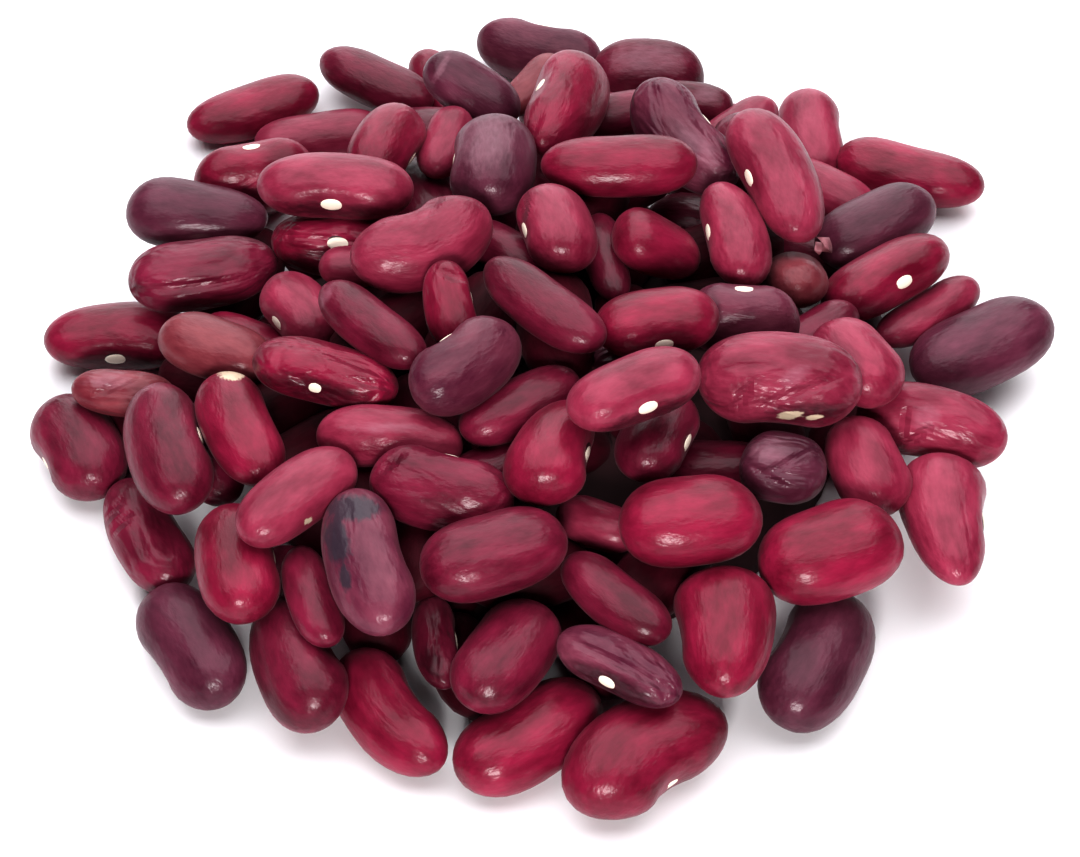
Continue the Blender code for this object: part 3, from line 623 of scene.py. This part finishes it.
# Marks on single beans as they show in the picture: kind, row, middle in pixels,
# half length and half width in pixels, turn
marks = [
    ("scuff", 82, 789, 415, 12, 4, 4),
    ("scuff", 82, 814, 417, 9, 2.6, 8),
    ("scuff", 44, 233, 371, 14, 9, 0),
    ("scuff", 47, 308, 521, 4.5, 2.6, 25),
    ("smudge", 49, 352, 508, 30, 13, 0),
    ("smudge", 49, 337, 540, 26, 13, -80),
    ("smudge", 49, 345, 578, 14, 6, -80),
    # painted shade: dark bands along the lower faces of beans and in the broken hollow of row 79
    ("paintedShadeBand", 64, 613, 685, 58, 12, -26),
    ("paintedShadeBand", 31, 328, 258, 40, 11, 0),
    ("paintedShadeBand", 73, 322, 392, 64, 13, -14),
    ("paintedShadeBand", 4, 334, 211, 64, 9, -3),
    ("paintedShadeBand", 26, 112, 364, 64, 10, 2),
    ("paintedShadeBand", 79, 664, 352, 34, 11, 0),
    ("paintedShadeBand", 50, 432, 662, 22, 12, -80),
    ("paintedShadeBand", 3, 250, 196, 50, 11, 10),
    ("paintedShadeBand", 81, 646, 419, 60, 12, 21),
    ("paintedShadeBand", 82, 806, 413, 46, 10, 4),
    # partly real greyish bloom on the coat, partly painted sheen and highlight on upper edges and ridges
    ("bloomAndPaintedSheen", 61, 925, 418, 16, 13, 0),
    ("crease", 25, 190, 286, 48, 4.5, 6),
    ("crease", 45, 112, 512, 15, 3.5, 55),
    ("crease", 45, 122, 522, 13, 3.5, 50),
    ("crease", 12, 706, 128, 26, 5, -40),
    ("crease", 28, 118, 384, 20, 4, 25),
    ("crease", 31, 310, 238, 40, 4, -4),
    ("crease", 51, 392, 462, 14, 4, 40),
    ("crease", 59, 790, 462, 26, 4, 25),
    ("crease", 59, 768, 476, 14, 3.5, -30),
    ("crease", 61, 905, 424, 14, 3.5, 75),
    ("crease", 61, 918, 436, 13, 3.5, 40),
    ("crease", 64, 628, 668, 50, 4.5, -26),
    ("crease", 73, 352, 362, 34, 4, -22),
    ("crease", 73, 372, 384, 22, 3.5, -12),
    ("crease", 82, 800, 392, 30, 5, 18),
    ("crease", 82, 742, 398, 14, 5, 60),
    ("crease", 32, 437, 196, 22, 6, 55),
    ("crease", 34, 531, 132, 26, 5, 62),
    ("crease", 74, 452, 276, 12, 4, -20),
    ("crease", 37, 523, 210, 14, 4, 80),
    ("crease", 80, 625, 350, 20, 4, 20),
    # pale patches: partly real greyish bloom, partly painted sheen along upper rims and painted highlight
    # streaks
    ("bloomAndPaintedSheen", 82, 795, 376, 18, 9, 30),
    ("bloomAndPaintedSheen", 7, 441, 68, 18, 4, 60),
    ("bloomAndPaintedSheen", 71, 325, 296, 14, 5, 60),
    ("bloomAndPaintedSheen", 12, 700, 150, 36, 12, -50),
    ("bloomAndPaintedSheen", 59, 770, 450, 22, 14, 10),
    ("bloomAndPaintedSheen", 33, 484, 140, 34, 26, 20),
    ("bloomAndPaintedSheen", 9, 650, 60, 40, 16, 0),
    ("bloomAndPaintedSheen", 10, 705, 95, 14, 8, 0),
    ("bloomAndPaintedSheen", 53, 385, 428, 40, 6, 0),
    ("bloomAndPaintedSheen", 28, 110, 380, 26, 9, 0),
]


def pixelOf(points):
    spots, far = seenAt(points)
    spots = spots * view["focalPx"] / view["distance"]
    return np.stack([spots[:, 0] + view["middlePx"][0], view["middlePx"][1] - spots[:, 1]], axis=1)


def markField(piece, kind, number):
    # 1 in the middle of a mark, a half at its edge, 0 well outside
    values = np.zeros(len(piece.data.vertices))
    held = [mark for mark in marks if mark[0] == kind and mark[1] == number]
    if not held:
        return values
    points = np.array([vert.co for vert in piece.data.vertices]) / mm + shift
    facing = np.array([vert.normal for vert in piece.data.vertices]) @ toward > 0
    pixels = pixelOf(points)
    for _, _, acrossPx, downPx, halfLong, halfWide, spin in held:
        off = pixels - (acrossPx, downPx)
        c, s = math.cos(math.radians(spin)), math.sin(math.radians(spin))
        along = (off[:, 0] * c - off[:, 1] * s) / halfLong
        beside = (off[:, 0] * s + off[:, 1] * c) / halfWide
        values = np.maximum(values, np.clip(1.5 - np.hypot(along, beside), 0, 1))
    return values * facing


def layBean(bean, number):
    piece = copyOf(beanModel if bean["shows"] else fillModel, "loose" + str(number))
    half = np.array([bean["long"], bean["wide"], bean["wide"] * beanForm["thickness"]]) / 2
    piece.data.transform(Matrix.Diagonal((*(half * mm), 1.0)))
    own = np.empty(len(piece.data.vertices) * 3)
    piece.data.vertices.foreach_get("co", own)
    own = own.reshape(-1, 3) / mm + draw.uniform(-variety["drift"], variety["drift"], 3)
    body = piece.data.attributes.new("body", "FLOAT_VECTOR", "POINT")
    body.data.foreach_set("vector", own.ravel())
    applyModifier(piece, "SIMPLE_DEFORM", deform_method="TAPER", deform_axis="X",
                  factor=tapered.get(number, draw.uniform(-variety["taper"], variety["taper"])))
    applyModifier(piece, "SIMPLE_DEFORM", deform_method="BEND", deform_axis="Z",
                  angle=math.radians(bean["bend"]))
    piece.data.transform(placedAt(bean))
    if any(mark[1] == number for mark in marks):
        applyModifier(piece, "SUBSURF", levels=1)
    # scuffs, smudges and creases are the coat's own marks; the dark bands are painted shade, and the pale
    # patches are partly painted sheen
    for kind in ("scuff", "smudge", "paintedShadeBand", "bloomAndPaintedSheen", "crease"):
        giveValue(piece, kind, markField(piece, kind, number))
    shade = 1 + draw.uniform(-variety["shade"], variety["shade"])
    giveValue(piece, "shade", shade)
    wrinkle = variety["fillWrinkle"]
    if bean["shows"]:
        wrinkle = wrinkled.get(number, draw.uniform(0.0, variety["wrinkle"]))
    giveValue(piece, "wrinkle", wrinkle)
    return piece


def layScar(bean, model, grow, sink):
    piece = copyOf(model, "scar")
    half = [scar["long"] / 2 * grow * mm, scar["thick"] / 2 * mm, scar["wide"] / 2 * grow * mm]
    surface = bean["wide"] / 2 * (1 - scar["dent"])
    out = Matrix.Translation((0, (surface - scar["thick"] / 2 + scar["proud"] - sink) * mm, 0))
    piece.data.transform(placedAt(bean) @ out @ Matrix.Diagonal((*half, 1.0)))
    return piece


def joinAs(pieces, name):
    bpy.ops.object.select_all(action="DESELECT")
    for piece in pieces:
        piece.select_set(True)
    bpy.context.view_layer.objects.active = pieces[0]
    bpy.ops.object.join()
    joined = bpy.context.active_object
    joined.name = name
    joined.data.name = name
    return joined


bpy.ops.object.select_all(action="DESELECT")
bpy.ops.mesh.primitive_uv_sphere_add(segments=scar["around"], ring_count=scar["along"], radius=1.0)
scarModel = bpy.context.active_object
bpy.ops.object.shade_smooth()

for number, bean in enumerate(beans):
    behind = bean["place"][1] > beanForm["behind"]
    # hidden beans in front of the middle get a near-black skin, painted shade for the gaps between shown
    # beans
    skin = skinOf[bean["skin"]] if bean["shows"] else "maroon" if behind else "inner"
    kinds.setdefault(skin, []).append(layBean(bean, number))
    if number not in scarless:
        scars.append(layScar(bean, scarModel, 1.0, 0.0))
        rims.append(layScar(bean, scarModel, 1.0 + scar["rim"], scar["rimSink"]))
for model in (beanModel, fillModel, scarModel):
    bpy.data.objects.remove(model)
print("beans laid:", {skin: len(group) for skin, group in kinds.items()})

lumps = bpy.data.textures.new("lumps", "CLOUDS")
lumps.noise_scale = variety["lumpSize"] * mm


def nodeOf(tree, kind, **inputs):
    node = tree.nodes.new(kind)
    for name, value in inputs.items():
        node.inputs[name.replace("_", " ")].default_value = value
    return node


def plainSkin(name, colour, roughness):
    material = bpy.data.materials.new(name)
    material.use_nodes = True
    shader = material.node_tree.nodes["Principled BSDF"]
    shader.inputs["Base Color"].default_value = (*colour, 1.0)
    shader.inputs["Roughness"].default_value = roughness
    return material


# Seed coats: a deep and a pale tone of each, in linear colour
skins = {
    "crimson": {"deep": (0.115, 0.0012, 0.0160), "pale": (0.270, 0.0120, 0.0510), "rough": 0.42},
    "rosy": {"deep": (0.155, 0.0065, 0.0290), "pale": (0.325, 0.0400, 0.0860), "rough": 0.46},
    "maroon": {"deep": (0.075, 0.0012, 0.0130), "pale": (0.200, 0.0130, 0.0450), "rough": 0.45},
    "plum": {"deep": (0.058, 0.0060, 0.0200), "pale": (0.135, 0.0280, 0.0560), "rough": 0.50},
    "mauve": {"deep": (0.080, 0.0070, 0.0260), "pale": (0.170, 0.0380, 0.0660), "rough": 0.50},
    "russet": {"deep": (0.125, 0.0120, 0.0230), "pale": (0.245, 0.0550, 0.0680), "rough": 0.48},
    # painted shade: a darker, duller copy of the seed coat for hidden beans seen in the gaps
    "inner": {"deep": (0.030, 0.0005, 0.0040), "pale": (0.075, 0.0020, 0.0120), "rough": 0.60,
              "specular": 0.12, "weight": 0.0},
}
coatFinish = {
    "weight": 0.36,
    "rough": 0.25,
    "specular": 0.15,
    "sheen": 0.05,
    "sheenTint": (1.0, 0.72, 0.78),
    "mottle": 0.30,      # patches a few mm long, drawn out along the bean
    "grain": 2.0,
    "grainDepth": 0.07,
    "wrinkle": 0.36,
    "wrinkleDepth": 0.80,
    "crease": 0.5,
    "mottleDetail": 4.0,
    "mottleRough": 0.62,
    "grainDetail": 3.0,
    "foldDetail": 2.0,
    "foldTwist": 0.6,
    "spread": (0.34, 0.70),  # where the deep tone ends and the pale one begins
    "lengthwise": 0.45,      # patterns run this much slower along the bean
    "sheenRough": 0.45,
    "markRagged": 0.9,
    "markFrom": 0.80,
}

# Marks in the order in which they lie over each other
markFinish = {
    # pale patches, partly real bloom and partly painted sheen and highlight
    "bloomAndPaintedSheen": {"tone": (0.36, 0.17, 0.22), "fullAt": 1.60, "strength": 0.38},
    # painted shade darkening the lower faces of beans
    "paintedShadeBand": {"tone": (0.016, 0.0010, 0.0035), "fullAt": 1.45, "strength": 0.72},
    "smudge": {"tone": (0.026, 0.024, 0.036), "fullAt": 1.20, "strength": 0.85},
    "scuff": {"tone": (0.56, 0.46, 0.34), "fullAt": 1.05, "strength": 1.0},
}


def stretched(tree, where, across):
    # the bean's own place, drawn out along its length
    scale = tree.nodes.new("ShaderNodeVectorMath")
    scale.operation = "MULTIPLY"
    scale.inputs[1].default_value = (across * coatFinish["lengthwise"], across, across)
    tree.links.new(where.outputs["Vector"], scale.inputs[0])
    return scale.outputs["Vector"]


def attributeOf(tree, name):
    node = tree.nodes.new("ShaderNodeAttribute")
    node.attribute_name = name
    return node


def markedOver(tree, colour, kind, grain):
    # a mark's field with its edge broken up by the grain
    finish = markFinish[kind]
    field = attributeOf(tree, kind)
    ragged = tree.nodes.new("ShaderNodeMath")
    ragged.operation = "MULTIPLY_ADD"
    ragged.inputs[1].default_value = coatFinish["markRagged"]
    tree.links.new(grain.outputs["Fac"], ragged.inputs[0])
    tree.links.new(field.outputs["Fac"], ragged.inputs[2])
    edge = nodeOf(tree, "ShaderNodeMapRange", From_Min=coatFinish["markFrom"],
                  From_Max=finish["fullAt"], To_Max=finish["strength"])
    tree.links.new(ragged.outputs["Value"], edge.inputs["Value"])
    mixed = tree.nodes.new("ShaderNodeMix")
    mixed.data_type = "RGBA"
    mixed.inputs["B"].default_value = (*finish["tone"], 1.0)
    tree.links.new(edge.outputs["Result"], mixed.inputs["Factor"])
    tree.links.new(colour, mixed.inputs["A"])
    return mixed.outputs["Result"]


def seedCoat(name, tones):
    material = bpy.data.materials.new(name)
    material.use_nodes = True
    tree = material.node_tree
    shader = tree.nodes["Principled BSDF"]
    where = attributeOf(tree, "body")
    mottle = nodeOf(tree, "ShaderNodeTexNoise", Scale=1.0, Detail=coatFinish["mottleDetail"],
                    Roughness=coatFinish["mottleRough"])
    tree.links.new(stretched(tree, where, coatFinish["mottle"]), mottle.inputs["Vector"])
    spread = tree.nodes.new("ShaderNodeValToRGB")
    for stop, position, tone in zip(spread.color_ramp.elements, coatFinish["spread"], ("deep", "pale")):
        stop.position = position
        stop.color = (*tones[tone], 1.0)
    shade = attributeOf(tree, "shade")
    scale = tree.nodes.new("ShaderNodeVectorMath")
    scale.operation = "SCALE"
    tree.links.new(mottle.outputs["Fac"], spread.inputs["Fac"])
    tree.links.new(spread.outputs["Color"], scale.inputs[0])
    tree.links.new(shade.outputs["Fac"], scale.inputs["Scale"])
    colour = scale.outputs["Vector"]
    grain = nodeOf(tree, "ShaderNodeTexNoise", Scale=1.0, Detail=coatFinish["grainDetail"])
    tree.links.new(stretched(tree, where, coatFinish["grain"]), grain.inputs["Vector"])
    for kind in markFinish:
        colour = markedOver(tree, colour, kind, grain)
    tree.links.new(colour, shader.inputs["Base Color"])
    folds = nodeOf(tree, "ShaderNodeTexNoise", Scale=1.0, Detail=coatFinish["foldDetail"],
                   Distortion=coatFinish["foldTwist"])
    tree.links.new(stretched(tree, where, coatFinish["wrinkle"]), folds.inputs["Vector"])
    crease = attributeOf(tree, "crease")
    groove = tree.nodes.new("ShaderNodeMath")
    groove.operation = "MULTIPLY"
    groove.inputs[1].default_value = -coatFinish["crease"]
    tree.links.new(crease.outputs["Fac"], groove.inputs[0])
    folded = tree.nodes.new("ShaderNodeMath")
    folded.operation = "MULTIPLY_ADD"
    amount = attributeOf(tree, "wrinkle")
    tree.links.new(folds.outputs["Fac"], folded.inputs[0])
    tree.links.new(amount.outputs["Fac"], folded.inputs[1])
    tree.links.new(groove.outputs["Value"], folded.inputs[2])
    relief = nodeOf(tree, "ShaderNodeBump", Strength=1.0, Distance=coatFinish["wrinkleDepth"] * mm)
    tree.links.new(folded.outputs["Value"], relief.inputs["Height"])
    finish = nodeOf(tree, "ShaderNodeBump", Strength=1.0, Distance=coatFinish["grainDepth"] * mm)
    tree.links.new(grain.outputs["Fac"], finish.inputs["Height"])
    tree.links.new(relief.outputs["Normal"], finish.inputs["Normal"])
    tree.links.new(finish.outputs["Normal"], shader.inputs["Normal"])
    tree.links.new(finish.outputs["Normal"], shader.inputs["Coat Normal"])
    shader.inputs["Sheen Weight"].default_value = coatFinish["sheen"]
    shader.inputs["Sheen Roughness"].default_value = coatFinish["sheenRough"]
    shader.inputs["Sheen Tint"].default_value = (*coatFinish["sheenTint"], 1.0)
    shader.inputs["Roughness"].default_value = tones["rough"]
    specular = tones.get("specular", coatFinish["specular"])
    shader.inputs["Specular IOR Level"].default_value = specular
    shader.inputs["Coat Weight"].default_value = tones.get("weight", coatFinish["weight"])
    shader.inputs["Coat Roughness"].default_value = coatFinish["rough"]
    return material


def finishPiece(piece, material):
    piece.data.materials.clear()
    piece.data.materials.append(material)
    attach(piece, "root")
    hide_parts("bean_heap")


for skin, group in sorted(kinds.items()):
    piece = joinAs(group, skin + "Beans")
    applyModifier(piece, "DISPLACE", texture=lumps, texture_coords="LOCAL",
                  strength=variety["lump"] * mm, mid_level=0.5)
    finishPiece(piece, seedCoat(skin + "Skin", skins[skin]))
    print(piece.name, len(piece.data.polygons), "faces")

seamScars = joinAs(scars, "seamScars")
finishPiece(seamScars, plainSkin("scarIvory", scar["colour"], scar["rough"]))
seamRims = joinAs(rims, "seamRims")
finishPiece(seamRims, plainSkin("scarRim", scar["rimColour"], scar["rimRough"]))
print("seam scars placed")

# Two scraps of dry husk, each with its middle in pixels, height over the dome in mm,
# turn, share of the full size and colour
husk = {
    "long": 3.6,
    "wide": 2.4,
    "curl": 150.0,
    "thick": 0.18,
    "lump": 0.8,
    "cells": (10, 6),
    "rough": 0.5,
    "scraps": [("paleHusk", (822, 246), 1.6, (20, 65, 10), 0.55, (0.27, 0.10, 0.12)),
               ("darkHusk", (1029, 361), -2.0, (25, 8, 40), 0.3, (0.06, 0.008, 0.015))],
}
for name, spot, over, angles, size, colour in husk["scraps"]:
    bpy.ops.object.select_all(action="DESELECT")
    bpy.ops.mesh.primitive_grid_add(x_subdivisions=husk["cells"][0],
                                    y_subdivisions=husk["cells"][1], size=1.0)
    scrap = bpy.context.active_object
    scrap.name = name
    bpy.ops.object.mode_set(mode="EDIT")
    bpy.ops.mesh.select_all(action="SELECT")
    bpy.ops.transform.resize(value=(husk["long"] * size * mm, husk["wide"] * size * mm, 1.0))
    bpy.ops.object.mode_set(mode="OBJECT")
    applyModifier(scrap, "DISPLACE", texture=lumps, texture_coords="LOCAL", strength=husk["lump"] * mm)
    applyModifier(scrap, "SOLIDIFY", thickness=husk["thick"] * mm, offset=0.0)
    applyModifier(scrap, "SIMPLE_DEFORM", deform_method="BEND", deform_axis="Y",
                  angle=math.radians(husk["curl"]))
    turnBy = Euler([math.radians(angle) for angle in angles]).to_matrix().to_4x4()
    at = (placeOnDome(*spot, over) - shift) * mm
    scrap.data.transform(Matrix.Translation([float(value) for value in at]) @ turnBy)
    bpy.ops.object.shade_smooth()
    finishPiece(scrap, plainSkin(name + "Skin", colour, husk["rough"]))
print("husk scraps placed")

# The middle of the heap, out of sight under the beans, near-black as painted shade in the deepest gaps
core = {
    "radius": 33.0,
    "height": 9.0,
    "lift": 0.2,
    "around": 48,
    "along": 24,
    # painted shade colour
    "colour": (0.03, 0.002, 0.005),
    "rough": 0.8,
}
bpy.ops.object.select_all(action="DESELECT")
bpy.ops.mesh.primitive_uv_sphere_add(segments=core["around"], ring_count=core["along"], radius=1.0)
innerHeap = bpy.context.active_object
innerHeap.name = "innerHeap"
bpy.ops.object.mode_set(mode="EDIT")
bpy.ops.mesh.select_all(action="SELECT")
bpy.ops.mesh.bisect(plane_co=(0, 0, 0.0), plane_no=(0, 0, 1), use_fill=True, clear_inner=True)
bpy.ops.mesh.select_all(action="SELECT")
bpy.ops.transform.resize(value=(core["radius"] * mm, core["radius"] * mm, core["height"] * mm),
                         center_override=(0, 0, 0))
bpy.ops.transform.translate(value=(-middle[0] * mm, (heap["middleY"] - middle[1]) * mm,
                                   core["lift"] * mm))
bpy.ops.object.mode_set(mode="OBJECT")
finishPiece(innerHeap, plainSkin("paintedShadeCore", core["colour"], core["rough"]))
print("inner heap made")

# Floor, light and camera
studio = {
    "floor": 3.0,
    "contrast": 0.80,
    "floorTone": (0.86, 0.86, 0.88),
    "floorRough": 0.6,
    "sky": 0.015,
    "skyTone": (0.96, 0.97, 1.0),
    "overhead": {"at": (0.0, 0.45, 0.80), "size": 1.5, "power": 24.0, "level": True,
                 "tone": (0.99, 0.98, 1.0)},
    "back": {"at": (0.0, 1.30, 0.36), "size": 1.0, "power": 9.0, "tone": (0.98, 0.98, 1.0)},
    "front": {"at": (-0.02, -0.45, 0.25), "size": 0.12, "power": 2.6, "tone": (1.0, 0.98, 0.97)},
}
bpy.ops.object.select_all(action="DESELECT")
bpy.ops.mesh.primitive_plane_add(size=studio["floor"], location=(0, 0, 0))
floor = bpy.context.active_object
floor.name = "tableTop"
floor.data.materials.append(plainSkin("tableWhite", studio["floorTone"], studio["floorRough"]))


def softLight(name, values):
    lamp = bpy.data.lights.new(name, "AREA")
    lamp.size = values["size"]
    lamp.energy = values["power"]
    lamp.color = values["tone"]
    holder = bpy.data.objects.new(name, lamp)
    holder.location = values["at"]
    if not values.get("level"):
        holder.rotation_euler = Vector(values["at"]).to_track_quat("Z", "Y").to_euler()
    bpy.context.scene.collection.objects.link(holder)


for side in ("overhead", "back", "front"):
    softLight(side + "Light", studio[side])
world = bpy.data.worlds.new("studio")
world.use_nodes = True
sky = world.node_tree.nodes["Background"]
sky.inputs["Color"].default_value = (*studio["skyTone"], 1.0)
sky.inputs["Strength"].default_value = studio["sky"]
bpy.context.scene.world = world
bpy.context.scene.view_settings.view_transform = "Standard"
bpy.context.scene.view_settings.gamma = studio["contrast"]

lens = bpy.data.cameras.new("photoCamera")
lens.sensor_width = view["sensor"]
lens.lens = view["sensor"] * view["focalPx"] / view["widthPx"]
lens.clip_start = view["clipStart"]
camera = bpy.data.objects.new("photoCamera", lens)
camera.location = [float(value) * mm for value in eye - shift]
camera.rotation_euler = (math.radians(90.0 - view["down"]), 0, 0)
bpy.context.scene.collection.objects.link(camera)
bpy.context.scene.camera = camera
print("studio set")
